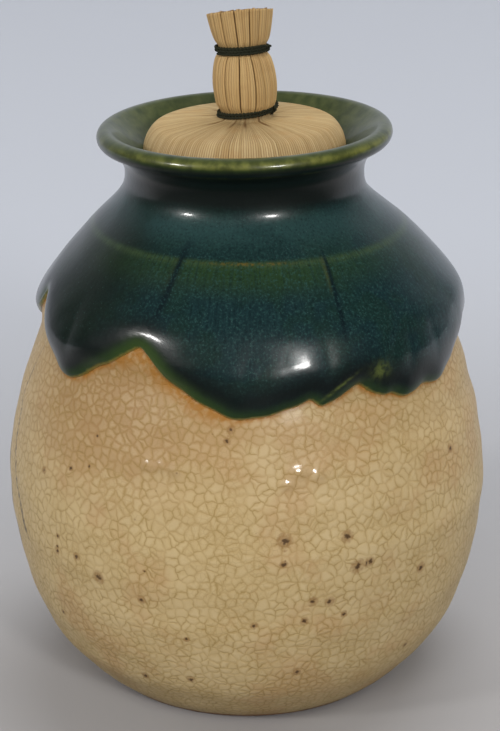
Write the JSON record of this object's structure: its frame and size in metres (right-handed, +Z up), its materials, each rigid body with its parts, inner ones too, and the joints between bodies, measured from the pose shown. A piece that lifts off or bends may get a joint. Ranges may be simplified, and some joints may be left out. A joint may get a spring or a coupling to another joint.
{
  "type": "sweets bottle",
  "caption": "Small thrown bottle for sugar sweets with a poured glaze over a crackled body and a bound rush stopper that lifts out of its neck.",
  "frame": {"origin": "middle of the foot ring, on the surface that the bottle stands on", "axes": "+Z up along the bottle's axis, -Y towards the front with the big run of glaze"},
  "size_m": [0.0768, 0.0768, 0.1085],
  "materials": {
    "glazed_stoneware": "gloss",
    "rush": "satin",
    "wadding": "matte",
    "thread": "matte"
  },
  "bodies": {
    "bottle": {"bottle_body": "glazed_stoneware"},
    "stopper": {"core_bundle": "rush", "pad_disc": "wadding", "rush_strand_01": "rush", "rush_strand_02": "rush", "rush_strand_03": "rush", "rush_strand_04": "rush", "rush_strand_05": "rush", "rush_strand_06": "rush", "rush_strand_07": "rush", "rush_strand_08": "rush", "rush_strand_09": "rush", "rush_strand_10": "rush", "rush_strand_11": "rush", "rush_strand_12": "rush", "rush_strand_13": "rush", "rush_strand_14": "rush", "rush_strand_15": "rush", "rush_strand_16": "rush", "upper_tie": "thread", "lower_tie": "thread", "under_tie": "thread"}
  },
  "joints": [
    {"name": "stopper_lift", "type": "slide", "parent": "bottle", "child": "stopper", "axis": [0, 0, 1], "range_m": [0, 0.06]}
  ]
}
